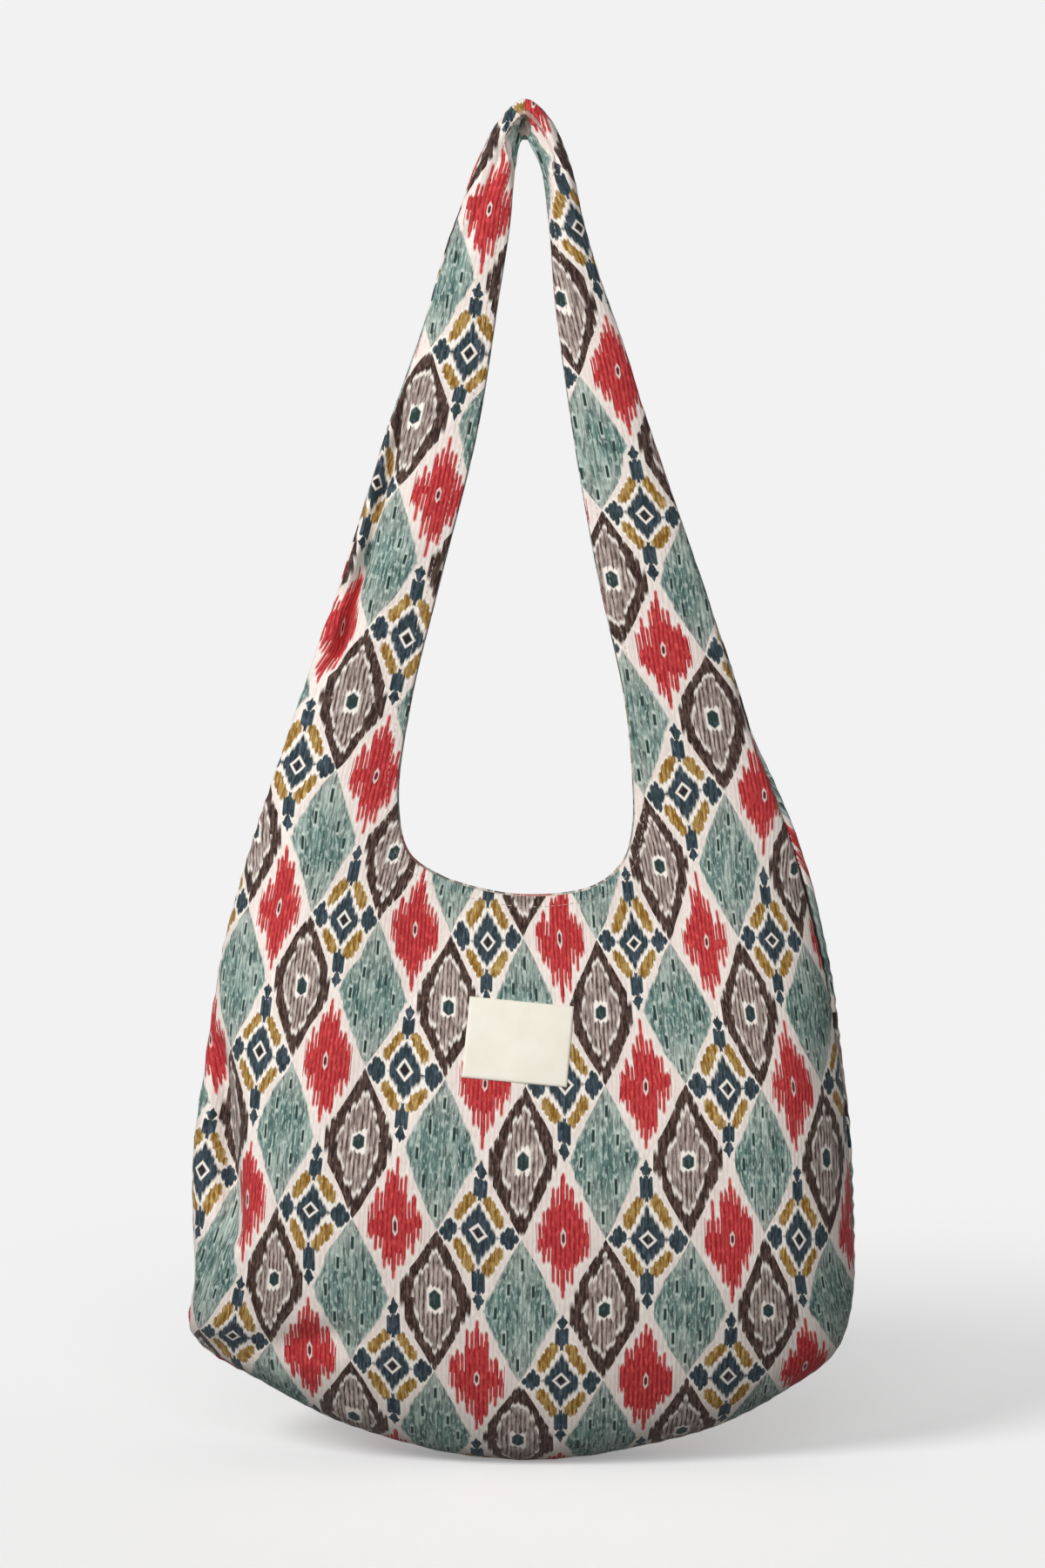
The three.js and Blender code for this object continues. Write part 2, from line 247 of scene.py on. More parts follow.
def smooth_cloth(station, turn):
    inner, outer = inner_loop(station), outer_loop(station)
    face, edge = squareness(outer[..., 1])
    across = np.clip(np.sin(turn), 0, 1) ** (2 / face)
    flat = inner + (outer - inner) * across[..., None]
    swell = np.abs(np.cos(turn)) ** (2 / edge) * np.sign(np.cos(turn))
    y = -half_depth(flat[..., 1]) * (1 - MOUTH_PULL * (1 - across) ** 3) * swell
    ridge = np.interp(station % STATIONS, *np.transpose(RIDGE))
    turned = RIDGE_SLOPE * np.maximum(0, ridge - across) * np.linalg.norm(outer - inner, axis=-1)
    y = np.sign(y) * np.maximum(np.abs(y) - turned, np.minimum(np.abs(y), RIDGE_LEAST))
    return np.stack([flat[..., 0], y, flat[..., 1]], -1)


def turn_at(station, across):
    face, _ = squareness(outer_loop(station)[..., 1])
    return np.arcsin(np.clip(across, 0, 1) ** (face / 2))


def seam_turn(station):
    first, last = SEAM_STATIONS
    middle = np.clip((station - first) / (last - first), 0, 1)
    forward = SEAM_FORWARD * np.sin(np.pi * middle) ** 2
    z = outer_loop(station)[..., 1]
    return np.arccos((forward / half_depth(z)) ** (squareness(z)[1] / 2))


# %% [markdown]
# Cloth that hangs has folds. Each one here is a groove along a line between two places on the smooth
# cloth, as a dressmaker would chalk it, with a width and a depth. A place is a station and a share across
# from the free edge.

# %% Folds
# A fold: its two ends, half its width, and its depth. One with a depth below zero swells out.
FRONT_FOLDS = [
    ((9.5, 0.95), (11.0, 0.85), 0.010, 0.026),  # deep tuck beside the left side seam
    ((9.8, 0.995), (11.3, 0.975), 0.010, -0.007),  # the side swells out beyond it
    ((5.7, 0.6), (6.3, 0.97), 0.006, 0.005),  # puckers on the outer edge of the left arm
    ((6.3, 0.65), (6.9, 0.97), 0.006, 0.004),
    ((4.8, 0.87), (6.7, 0.77), 0.0034, 0.012),  # crease that turns the outer edge of the left arm away
    ((0.0, 0.0), (0.0, 0.85), 0.0030, 0.009),  # cleft between the arms at the strap's top
    ((0.3, 0.62), (3.6, 0.75), 0.004, 0.003),  # pleats down both arms
    ((28.6, 0.60), (30.7, 0.66), 0.003, 0.004),
    ((12.3, 0.98), (13.6, 0.82), 0.010, 0.007),  # crease beside the pointed corner
    ((10.4, 0.05), (12.8, 0.5), 0.020, 0.0025),  # slack below the corners of the mouth
    ((21.0, 0.08), (19.4, 0.55), 0.020, 0.0025),
]
BACK_FOLDS = [
    ((20.6, 0.72), (18.4, 0.82), 0.012, 0.007),
    ((10.2, 0.7), (12.0, 0.8), 0.012, 0.006),
    ((0.4, 0.5), (4.6, 0.55), 0.004, 0.003),
    ((28.6, 0.5), (30.6, 0.5), 0.004, 0.003),
    ((12.3, 0.98), (13.6, 0.82), 0.010, 0.005),
]
FOLD_END = 0.25
FOLD_PULL = (0.3, 1, 1)  # a fold at the side is drawn straight back rather than sideways


def fold_depth(points, folds, back):
    total = np.zeros(points.shape[:-1])
    for start, end, half_width, depth in folds:
        ends = []
        for station, across in (start, end):
            turn = turn_at(np.array(station), across)
            ends.append(smooth_cloth(np.array(station), np.pi - turn if back else turn))
        run = ends[1] - ends[0]
        share = (points - ends[0]) @ run / (run @ run)
        nearest = ends[0] + np.clip(share, 0, 1)[..., None] * run
        distance = np.linalg.norm(points - nearest, axis=-1)
        fade = smoothstep(np.minimum(share, 1 - share), -FOLD_END, FOLD_END)
        total += depth * fade * np.exp(-((distance / half_width) ** 2))
    return total


# Whole numbers that scramble a place, for noise that is the same in every run.
HASH = (374761393, 668265263, 2147483647)
HASH_SEED, HASH_MIX, HASH_PRIME = 974711, 1274126177, 65521


def value_noise(points, scale, seed):
    cells = points / scale
    low = np.floor(cells).astype(np.int64)
    w = cells - low
    w = w * w * (3 - 2 * w)
    total = np.zeros(points.shape[:-1])
    for corner in np.ndindex(2, 2, 2):
        place = low + corner
        mixed = seed * HASH_SEED + sum(place[..., k] * HASH[k] for k in range(3))
        mixed = (mixed ^ (mixed >> 13)) * HASH_MIX & 0x7FFFFFFF
        weight = np.prod(np.where(corner, w, 1 - w), -1)
        total += weight * (mixed % HASH_PRIME / HASH_PRIME - 0.5)
    return total


print("folds:", len(FRONT_FOLDS), "in front,", len(BACK_FOLDS), "behind")

# %% [markdown]
# A panel is a grid of cloth points. Its lines run from the free edge to the seam with equal steps along
# the cloth, so the mesh is even where the cloth turns. The same lengths along the cloth tell where each
# point lay on the flat cut, and that is what the print follows, so it wraps round the sides without
# stretching.

# %% The grid of a panel
STEPS_PER_STATION = 14
HEM_COLUMNS = np.array([0, 0.0007, 0.002, 0.004, 0.0062, 0.0082, 0.009, 0.0103])
HEM_SHARE = 0.4
FACE_COLUMNS = 76
# Shares across a line at which its length is measured, closer together where the cloth turns in at the
# seam.
SHARES = np.concatenate([np.linspace(0, 0.98, 160), 1 - np.geomspace(0.02, 1e-5, 60)[1:], [1]])


def line_normals(points):
    around = np.roll(points, -1, 0) - np.roll(points, 1, 0)
    over = np.gradient(points, axis=1)
    normal = np.cross(over, around)
    return normal / np.linalg.norm(normal, axis=-1, keepdims=True)


def panel_grid(back):
    count = STATIONS * STEPS_PER_STATION
    station = np.arange(count) / STEPS_PER_STATION
    end = seam_turn(station)
    if back:
        end = np.pi - end
    turns = turn_at(station[:, None], SHARES[None, :]) * (end / (np.pi / 2))[:, None]
    sweep = np.pi - turns if back else turns
    fine = smooth_cloth(np.broadcast_to(station[:, None], sweep.shape), sweep)
    step = np.linalg.norm(np.diff(fine, axis=1), axis=-1)
    length = np.concatenate([np.zeros((count, 1)), np.cumsum(step, 1)], 1)
    rest = np.linspace(0, 1, FACE_COLUMNS + 1)[1:]
    columns = len(HEM_COLUMNS) + FACE_COLUMNS
    along, turn = np.zeros((count, columns)), np.zeros((count, columns))
    for i in range(count):
        hem = HEM_COLUMNS * min(1, HEM_SHARE * length[i, -1] / HEM_COLUMNS[-1])
        along[i] = np.concatenate([hem, hem[-1] + (length[i, -1] - hem[-1]) * rest])
        turn[i] = np.interp(along[i], length[i], sweep[i])
    points = smooth_cloth(np.broadcast_to(station[:, None], turn.shape), turn)
    return station, turn, along, points


# %% [markdown]
# The folds are pressed into the grid, and then the small unevenness of sewn cloth is added: slack that
# swells here and there, puckers where the thread draws the seam together, and a shallow groove along the
# seam itself.

# %% Slack, puckers and the seam
# Slack has two sizes of swell, each with its height, and is full from this far in from the free edge.
SLACK = ((0.060, 0.0035), (0.022, 0.0010))
SLACK_FROM = 0.03
FRONT_SEED, BACK_SEED = 3, 7
# Puckers have a pitch that drifts slowly, and are full on the body and faint on the arms.
PUCKER_PITCH, PUCKER_HEIGHT, PUCKER_REACH = 0.0105, 0.0007, 0.008
PUCKER_DRIFT = (2.2, 0.05)
PUCKER_LEAST = 0.2
PUCKER_BELOW = (0.3, 0.5)
GROOVE_DEPTH, GROOVE_HALF = 0.0016, 0.0022


def folded(turn, points, back):
    normal = line_normals(points) * (-1 if back else 1)
    depth = fold_depth(points, BACK_FOLDS if back else FRONT_FOLDS, back) * np.sqrt(np.abs(np.cos(turn)))
    inward = -normal * FOLD_PULL
    return points + inward / np.linalg.norm(inward, axis=-1, keepdims=True) * depth[..., None], normal


def puckers(points, from_seam):
    step = np.linalg.norm(np.diff(points[:, -1], axis=0), axis=-1)
    round_seam = np.concatenate([[0], np.cumsum(step)])
    drift = PUCKER_DRIFT[0] * np.sin(round_seam / PUCKER_DRIFT[1])
    wave = np.sin(round_seam / PUCKER_PITCH * 2 * np.pi + drift)[:, None]
    below = PUCKER_LEAST + (1 - PUCKER_LEAST) * smoothstep(-points[..., 2], *PUCKER_BELOW)
    return wave * PUCKER_HEIGHT * np.exp(-from_seam / PUCKER_REACH) * below


def drape(parts, back):
    _, turn, along, points = parts
    cloth, normal = folded(turn, points, back)
    from_seam = along[:, -1:] - along
    seed = BACK_SEED if back else FRONT_SEED
    slack = sum(value_noise(points, size, seed + k) * rise for k, (size, rise) in enumerate(SLACK))
    slack *= smoothstep(along, 0, SLACK_FROM)
    groove = -GROOVE_DEPTH * np.exp(-((from_seam / GROOVE_HALF) ** 2))
    lift = slack + puckers(points, from_seam) + groove
    return cloth + normal * lift[..., None]


front_parts = panel_grid(False)
back_parts = panel_grid(True)
front_cloth = drape(front_parts, False)
back_cloth = drape(back_parts, True)
print("grid of a panel:", front_cloth.shape)

# %% [markdown]
# The print repeats on a lattice of diamonds: a column every 23.7 mm and a row every 42.5 mm of flat cloth.
# On the body the columns stand upright. On the arms the cloth is pulled askew towards the hook, so the
# columns lean with the arm while the rows stay nearly level. Two columns, one through each arm, are
# followed from the hook down to the base, and the rest is counted from them.

# %% Print coordinates
COLUMN, SIDE_COLUMN = 0.0237, 0.0190
ROW, ROW_ZERO = 0.0425, -0.5555
LEFT_AT, RIGHT_AT = -4, 6
LEFT_COLUMN = np.array([
    (0.02, -0.010), (-0.044, -0.021), (-0.125, -0.032), (-0.212, -0.051), (-0.372, -0.086),
    (-0.454, -0.105), (-0.541, -0.116), (-0.628, -0.124), (-0.90, -0.130),
])
RIGHT_COLUMN = np.array([
    (0.02, 0.007), (-0.056, 0.035), (-0.141, 0.055), (-0.22, 0.069), (-0.382, 0.092),
    (-0.469, 0.105), (-0.554, 0.117), (-0.644, 0.119), (-0.90, 0.118),
])
# Heights between which the body's columns give way to the arms', and the side columns to those under the
# base.
ARM_HEIGHTS = (-0.445, -0.38)
BASE_DOWN = (0.65, 0.72)
# The rows rise towards the left side, and hang lower on the right arm.
LEFT_LIFT, LEFT_LIFT_FROM, LEFT_LIFT_MOST = 0.15, 0.02, 0.021
RIGHT_DROP, RIGHT_DROP_HEIGHTS = 0.011, (-0.36, -0.13)
BACK_SHIFT = (3.3, 0.8)


def unrolled(station, along):
    inner, outer = inner_loop(station), outer_loop(station)
    heading = (outer - inner) / np.linalg.norm(outer - inner, axis=-1, keepdims=True)
    return inner[:, None, :] + heading[:, None, :] * along[..., None]


def column_line(table, z):
    order = table[::-1]
    return np.interp(z, order[:, 0], order[:, 1])


def print_places(flat, right_half):
    x, z = flat[..., 0], flat[..., 1]
    left, right = column_line(LEFT_COLUMN, z), column_line(RIGHT_COLUMN, z)
    arm = smoothstep(z, *ARM_HEIGHTS)
    between = (right - left) / (RIGHT_AT - LEFT_AT) * (1 - arm) + COLUMN * arm
    beyond = SIDE_COLUMN + (COLUMN - SIDE_COLUMN) * np.maximum(arm, smoothstep(-z, *BASE_DOWN))
    from_left = np.where(x > left, (x - left) / between, (x - left) / beyond) + LEFT_AT
    from_right = np.where(x < right, (x - right) / between, (x - right) / beyond) + RIGHT_AT
    p = np.where(right_half, from_right, from_left)
    row_zero = ROW_ZERO + np.clip(LEFT_LIFT * (-x - LEFT_LIFT_FROM), 0, LEFT_LIFT_MOST)
    row_zero = row_zero - RIGHT_DROP * smoothstep(z, *RIGHT_DROP_HEIGHTS) * right_half
    return np.stack([p, (row_zero - z) / ROW], -1)


def print_map(parts, back):
    station, turn, along, points = parts
    flat = unrolled(station, along)
    step = np.linalg.norm(np.diff(folded(turn, points, back)[0], axis=1), axis=-1)
    length = np.concatenate([np.zeros((len(station), 1)), np.cumsum(step, 1)], 1)
    cut = unrolled(station, length)
    flat, cut = (np.concatenate([lines, lines[:1]], 0) for lines in (flat, cut))
    lines = np.arange(len(flat)) / STEPS_PER_STATION
    right_half = np.broadcast_to((lines > STATIONS / 2)[:, None], flat.shape[:2])
    places = print_places(cut, right_half)
    if back:
        places = places * (-1, 1) + BACK_SHIFT
    return flat, places


front_flat, front_print = print_map(front_parts, False)
back_flat, back_print = print_map(back_parts, True)
print("print columns", front_print[..., 0].min().round(1), front_print[..., 0].max().round(1))

# %% [markdown]
# The cloth is a closed sheet: the printed face, the wrong side of the cloth 1.5 mm behind it, and the two
# edges. The hem is folded in, so it is twice as thick. A second map, OFBake, lays both faces side by side
# for texture baking.

# %% Cloth pieces
# Half the gap between the panels, where the hem's second layer ends, and how the free edge is rounded.
SEAM_HALF_GAP = 0.00006
HEM_STEP = (-0.0002, 0.0012)
EDGE_ROUNDING = np.array([0.00045, 0.0001])
BAKE_SCALE = 1 / 0.90
BAKE_CENTRE = (0.0, -0.40)
BAKE_FACE, BAKE_INSIDE = (0.28, 0.5), (0.775, 0.5)
INSIDE_SCALE = 0.80


def bake_place(flat, inside):
    place = (flat - BAKE_CENTRE) * BAKE_SCALE
    return BAKE_INSIDE + place * INSIDE_SCALE if inside else BAKE_FACE + place


def cloth_skins(cloth, along, back):
    normal = line_normals(cloth) * (-1 if back else 1)
    layers = 2 - smoothstep(along, HEM_WIDTH + HEM_STEP[0], HEM_WIDTH + HEM_STEP[1])
    face = cloth.copy()
    inner = cloth - normal * (CLOTH * layers)[..., None]
    rounded = normal[:, :2] * EDGE_ROUNDING[None, :, None]
    face[:, :2] -= rounded
    inner[:, :2] += rounded
    inward = face[:, -2] - face[:, -1]
    inward *= SEAM_HALF_GAP / np.linalg.norm(inward, axis=-1, keepdims=True)
    face[:, -1] += inward
    inner[:, -1] += inward
    return np.concatenate([face.reshape(-1, 3), inner.reshape(-1, 3)])


def sheet_rows(count, columns):
    i, j = (k.ravel() for k in np.meshgrid(np.arange(count), np.arange(columns - 1), indexing="ij"))
    line, free, end = np.arange(count), np.zeros(count, int), np.full(count, columns - 1)
    return [
        [(i, j, 0), (i, j + 1, 0), (i + 1, j + 1, 0), (i + 1, j, 0)],
        [(i, j, 1), (i + 1, j, 1), (i + 1, j + 1, 1), (i, j + 1, 1)],
        [(line, free, 0), (line + 1, free, 0), (line + 1, free, 1), (line, free, 1)],
        [(line, end, 0), (line, end, 1), (line + 1, end, 1), (line + 1, end, 0)],
    ]


def cloth_piece(name, cloth, parts, flat, places, back):
    count, columns = cloth.shape[:2]
    rows = sheet_rows(count, columns)
    if back:
        rows = [row[::-1] for row in rows]

    def corner(line, column, inside):
        return inside * count * columns + (line % count) * columns + column

    faces = np.concatenate([np.stack([corner(*c) for c in row], 1) for row in rows])
    print_uv, bake_uv, inside_face = [], [], []
    for number, row in enumerate(rows):
        wrong_side = number == 1
        bake = bake_place(flat, wrong_side)
        print_uv.append(np.stack([places[c[0], c[1]] for c in row], 1))
        bake_uv.append(np.stack([bake[c[0], c[1]] for c in row], 1))
        inside_face.append(np.full(len(row[0][0]), wrong_side))
    mesh = bpy.data.meshes.new(name)
    mesh.from_pydata(cloth_skins(cloth, parts[2], back).tolist(), [], faces.tolist())
    for title, values in (("print", print_uv), ("OFBake", bake_uv)):
        layer = mesh.uv_layers.new(name=title)
        layer.data.foreach_set("uv", np.concatenate(values).astype(np.float32).ravel())
    mesh.polygons.foreach_set("material_index", np.concatenate(inside_face).astype(np.int32))
    mesh.polygons.foreach_set("use_smooth", np.ones(len(faces), bool))
    mesh.update()
    piece = bpy.data.objects.new(name, mesh)
    bpy.context.scene.collection.objects.link(piece)
    area = sum(p.area for p in mesh.polygons if p.material_index == 0)
    print(name, len(faces) * 2, "triangles,", round(area, 3), "square metres of printed face")
    return piece


front = cloth_piece("front_cloth", front_cloth, front_parts, front_flat, front_print, False)
back = cloth_piece("back_cloth", back_cloth, back_parts, back_flat, back_print, True)

# %% [markdown]
# Shader maths reads best as sums. This small class wraps one socket of a material's node tree, and
# arithmetic on it adds Math nodes. Its node method adds any other node: settings first, then values or
# links of its sockets.


# %% Shader sums
class Wire:
    def __init__(self, tree, socket=None):
        self.tree, self.socket = tree, socket

    def node(self, kind, settings=None, links=None, output=0):
        made = self.tree.nodes.new(kind)
        for name, value in (settings or {}).items():
            setattr(made, name, value)
        for name, value in (links or {}).items():
            if isinstance(value, Wire):
                self.tree.links.new(value.socket, made.inputs[name])
            else:
                made.inputs[name].default_value = value
        return Wire(self.tree, made.outputs[output])

    def maths(self, operation, *values):
        return self.node("ShaderNodeMath", {"operation": operation}, dict(enumerate(values)))

    def __add__(self, other):
        return self.maths("ADD", self, other)

    def __radd__(self, other):
        return self.maths("ADD", other, self)

    def __sub__(self, other):
        return self.maths("SUBTRACT", self, other)

    def __rsub__(self, other):
        return self.maths("SUBTRACT", other, self)

    def __mul__(self, other):
        return self.maths("MULTIPLY", self, other)

    def __rmul__(self, other):
        return self.maths("MULTIPLY", other, self)

    def __truediv__(self, other):
        return self.maths("DIVIDE", self, other)

    def __abs__(self):
        return self.maths("ABSOLUTE", self)

    def __pow__(self, other):
        return self.maths("POWER", self, other)

    def round(self):
        return self.maths("FLOOR", self + 0.5)

    def odd(self):
        return self.maths("FLOORED_MODULO", self, 2.0)

    def least(self, other):
        return self.maths("MINIMUM", self, other)

    def most(self, other):
        return self.maths("MAXIMUM", self, other)

    def inside(self, blur):
        settings = {"operation": "MULTIPLY_ADD", "use_clamp": True}
        return self.node("ShaderNodeMath", settings, {0: self, 1: -1 / blur, 2: 0.5})

    def vector(self, x, y, z=0.0):
        return self.node("ShaderNodeCombineXYZ", None, {"X": x, "Y": y, "Z": z})

    def pair(self, place):
        parts = self.node("ShaderNodeSeparateXYZ", None, {0: place}).socket.node
        return Wire(self.tree, parts.outputs[0]), Wire(self.tree, parts.outputs[1])

    def noise(self, place, scale, detail, roughness):
        links = {"Vector": place, "Scale": scale, "Detail": detail, "Roughness": roughness}
        return self.node("ShaderNodeTexNoise", {"noise_dimensions": "2D"}, links, "Fac")

    def between(self, low, high):
        links = {"Value": self, "From Min": low, "From Max": high}
        return self.node("ShaderNodeMapRange", {"clamp": True}, links)

    def mix(self, amount, first, second):
        return self.node("ShaderNodeMix", {"data_type": "RGBA"}, {0: amount, 6: first, 7: second}, 2)


def linear(value):
    share = value / 255
    return share / 12.92 if share <= 0.04045 else ((share + 0.055) / 1.055) ** 2.4


def colour(red, green, blue):
    return (linear(red), linear(green), linear(blue), 1.0)


# %% [markdown]
# The print imitates ikat, a cloth whose threads are dyed before weaving. The dye bleeds along the upright
# threads, so every motif is built of thin upright strips whose ends don't quite line up. In the shader,
# each motif is a diamond whose sideways place is rounded to whole strips, and each strip is pushed up or
# down by its own random amount. Four motifs take turns on the lattice: a red lozenge, a brown eye, a
# streaked teal diamond and a navy cross.

# %% Colours of the print
GROUND, GROUND_DARK = colour(244, 233, 225), colour(224, 208, 200)
OUTLINE = colour(249, 241, 231)
RED, RED_PALE, RED_DARK = colour(156, 24, 36), colour(226, 82, 80), colour(84, 22, 26)
BROWN, BROWN_PALE = colour(44, 27, 22), colour(120, 97, 87)
MAUVE, MAUVE_PALE = colour(82, 60, 54), colour(222, 206, 197)
TEAL, TEAL_PALE, TEAL_DARK = colour(70, 100, 95), colour(138, 164, 157), colour(38, 56, 55)
TEAL_GREY, TEAL_CREAM = colour(184, 184, 176), colour(206, 219, 209)
NAVY, NAVY_PALE = colour(32, 43, 56), colour(98, 114, 126)
OCHRE, OCHRE_PALE = colour(136, 94, 26), colour(208, 176, 110)
GREEN, DARK = colour(38, 58, 54), colour(34, 26, 26)

# %% [markdown]
# The lattice finds, for any point of the print, the diamond that it lies in and its place there: x across
# and y down, from the middle. Diamonds are counted along both slanting directions, and whether the two
# counts are odd or even tells which of the four motifs it is. A little slow noise moves the lines, as they
# are never quite straight in a woven cloth. The same class keeps the streaks that every motif shares, a
# painted highlight along the middle of each strip, and painted shade in the grooves between the strips.

# %% The lattice and its threads
STRIP = 1 / 9
WANDER = (0.08, 0.20)
TOOTH = 0.06
# How much painted shade darkens the grooves between the strips.
GROOVE_SHADE = 0.45
# A streak: its clouds' fineness across and down, shift, detail and roughness, and the range that is
# spread from 0 to 1.
STREAKS = {
    "stroke": (13.0, 4.0, 0.0, 1.5, 0.5, 0.43, 0.57),
    "shade": (12.0, 3.4, 90.0, 1.5, 0.5, 0.54, 0.66),
    "fleck": (16.0, 9.0, 40.0, 1.5, 0.5, 0.54, 0.63),
    "wash": (6.0, 1.5, 0.0, 3.0, 0.6, 0.36, 0.66),
    "faded": (2.2, 1.3, 0.0, 2.0, 0.6, 0.50, 0.68),
}


class Lattice:
    def __init__(self, tree):
        self.start = Wire(tree)
        self.p, self.q = self.start.pair(self.start.node("ShaderNodeUVMap", {"uv_map": "print"}))
        self.find_diamond()
        self.cut_strips()
        self.lay_threads()

    def find_diamond(self):
        wander = self.start.noise(self.start.vector(self.p, self.q * 1.8), 0.7, 1.0, 0.5) - 0.5
        p, q = self.p + wander * WANDER[0], self.q + wander * WANDER[1]
        i_exact, j_exact = (p + q) * 0.5, (q - p) * 0.5
        self.i, self.j = i_exact.round(), j_exact.round()
        self.x = (i_exact - self.i) - (j_exact - self.j)
        self.y = (i_exact - self.i) + (j_exact - self.j)
        a, b = self.i.odd(), self.j.odd()
        self.red, self.brown, self.teal, self.navy = (1 - a) * (1 - b), a * (1 - b), (1 - a) * b, a * b

    def cut_strips(self):
        self.strip = (self.x / STRIP).round()
        bar = (self.x / (2 * STRIP)).round()
        self.chance = self.chances(self.strip) * 0.7 + self.chances(bar + 40.0) * 0.3
        self.some = self.chances(self.strip + 80.0)
        self.tooth = abs(self.x / STRIP - self.strip)
        self.side, self.plain_side, self.height = abs(self.strip * STRIP), abs(self.x), abs(self.y)
        self.mixed_side = self.side * 0.5 + self.plain_side * 0.5

    def chances(self, number):
        above = self.y.maths("SIGN", self.y)
        cell = self.start.vector(number, self.i * 3.0 + above, self.j)
        settings = {"noise_dimensions": "3D"}
        return self.start.node("ShaderNodeTexWhiteNoise", settings, {"Vector": cell}, "Value")

    def clouds(self, wide, tall, shift, detail, roughness):
        place = self.start.vector(self.p * wide + shift, self.q * tall)
        return self.start.noise(place, 1.0, detail, roughness)

    def streaks(self, title):
        *clouds, low, high = STREAKS[title]
        return self.clouds(*clouds).between(low, high)

    def lay_threads(self):
        strip = (self.p / STRIP).round()
        self.rib = self.start.noise(self.start.vector(strip * 7.31, self.q * 2.6), 1.0, 2.0, 0.6)
        self.thread = self.clouds(46.0, 5.0, 0.0, 2.0, 0.6)
        self.stroke, self.fleck, self.wash = (self.streaks(title) for title in ("stroke", "fleck", "wash"))
        off_strip = abs(self.p / STRIP - strip)
        # A painted highlight along the middle of each strip.
        self.ridge = off_strip.between(0.5, 0.15)
        # Painted shade in the grooves between the strips, broken up by the threads.
        self.groove_shade = off_strip.between(0.30, 0.5) * self.thread.between(0.38, 0.58)

    def blades(self, jitter):
        return self.height + (self.chance - 0.5) * jitter + self.tooth * TOOTH

    # Mixes the dye from dark to pale by its lightness, then lays painted shade in the grooves between the
    # strips.
    def dyed_with_groove_shade(self, dark, pale, lightness):
        return self.start.mix(self.groove_shade * GROOVE_SHADE, self.start.mix(lightness, dark, pale), DARK)

    def lay(self, cloth, shape, blur, kind, tint):
        return self.start.mix(shape.inside(blur) * kind, cloth, tint)


# %% [markdown]
# The red lozenge has the most ragged edge: every second strip is cut back further, wings stand out at its
# middle, and pale slits run in between the strips. At its heart is a small dark eye with a pale rim.

# %% Red lozenge
RED_REACH, RED_JITTER, RED_WIDEST = 0.85, 0.18, 0.65
WING_HALF, WING_JITTER = 0.22, 0.14
RED_EYE_HALF = (0.062, 0.125)


def red_lozenge(k, cloth):
    notch = k.strip.odd() * (0.04 + k.side * 0.30) * (0.6 + k.some * 0.8)
    wings = k.height + (k.chance - 0.5) * WING_JITTER - WING_HALF
    edge = (k.side + k.blades(RED_JITTER) + notch - RED_REACH).least(wings)
    edge = edge.most((k.plain_side - RED_WIDEST) * 4.0)
    slit = k.tooth.between(0.27, 0.36) * (edge + 0.03 + k.some * 0.22).between(0.0, 0.03)
    cloth = k.lay(cloth, edge - 0.06, 0.06, k.red * 0.6, OUTLINE)
    # The red is lighter along the middle of each strip: a painted highlight.
    tint = k.dyed_with_groove_shade(RED, RED_PALE, k.ridge * 0.35 + k.fleck * 0.45 + k.stroke * 0.15)
    cloth = k.lay(cloth, edge, 0.05, k.red * (1 - slit * 0.85), tint)
    wide, tall = RED_EYE_HALF
    eye = (k.plain_side / wide).most(k.plain_side / (2 * wide) + k.height / tall)
    cloth = k.lay(cloth, eye - 1, 0.3, k.red * 0.85, OUTLINE)
    return k.lay(cloth, eye - 0.62, 0.3, k.red, RED_DARK)


# %% [markdown]
# The brown eye is an almond with a dark rim. A power a little above 1 bends the diamond's straight sides
# outwards. In it lie a streaked mauve core, a pale square and a dark green dot, one inside the other.

# %% Brown eye
ALMOND_HALF, ALMOND_POWER, ALMOND_JITTER = 0.86, 1.25, 0.20
CORE_HALF = (0.55, 0.73)
SQUARE_HALF, SQUARE_JITTER = (0.195, 0.165), 0.09
DOT_HALF, DOT_SLOPE = 0.14, (0.30, 0.12)


def brown_eye(k, cloth):
    blades = k.blades(ALMOND_JITTER)
    almond = (k.side / ALMOND_HALF) ** ALMOND_POWER + blades**ALMOND_POWER
    cloth = k.lay(cloth, almond - 1.10, 0.08, k.brown * 0.7, OUTLINE)
    tint = k.dyed_with_groove_shade(BROWN, BROWN_PALE, k.stroke * 0.30 + k.fleck * 0.45)
    cloth = k.lay(cloth, almond - 1, 0.08, k.brown, tint)
    core = (k.mixed_side / CORE_HALF[0]) ** ALMOND_POWER + (blades / CORE_HALF[1]) ** ALMOND_POWER
    cloth = k.lay(cloth, core - 1, 0.08, k.brown * 0.9, OUTLINE)
    # The mauve is lighter along the middle of each strip: a painted highlight.
    tint = k.dyed_with_groove_shade(MAUVE, MAUVE_PALE, k.ridge * 0.40 + k.stroke * 0.35 + k.fleck * 0.25 - 0.12)
    cloth = k.lay(cloth, core - 0.90, 0.08, k.brown, tint)
    square = (k.plain_side / SQUARE_HALF[0]).most(k.blades(SQUARE_JITTER) / SQUARE_HALF[1])
    cloth = k.lay(cloth, square - 1, 0.2, k.brown, OUTLINE)
    dot = (k.plain_side / DOT_HALF).most(k.plain_side / DOT_SLOPE[0] + k.height / DOT_SLOPE[1])
    return k.lay(cloth, dot - 1, 0.2, k.brown, k.dyed_with_groove_shade(GREEN, NAVY_PALE, k.fleck * 0.35))


# %% [markdown]
# The teal diamond is filled with streaks: darkest in the middle, greyer towards its points, worn pale in
# patches. Short dark dashes with pale rims stand in it, and the nearest dash is found by taking the least
# of their box distances.

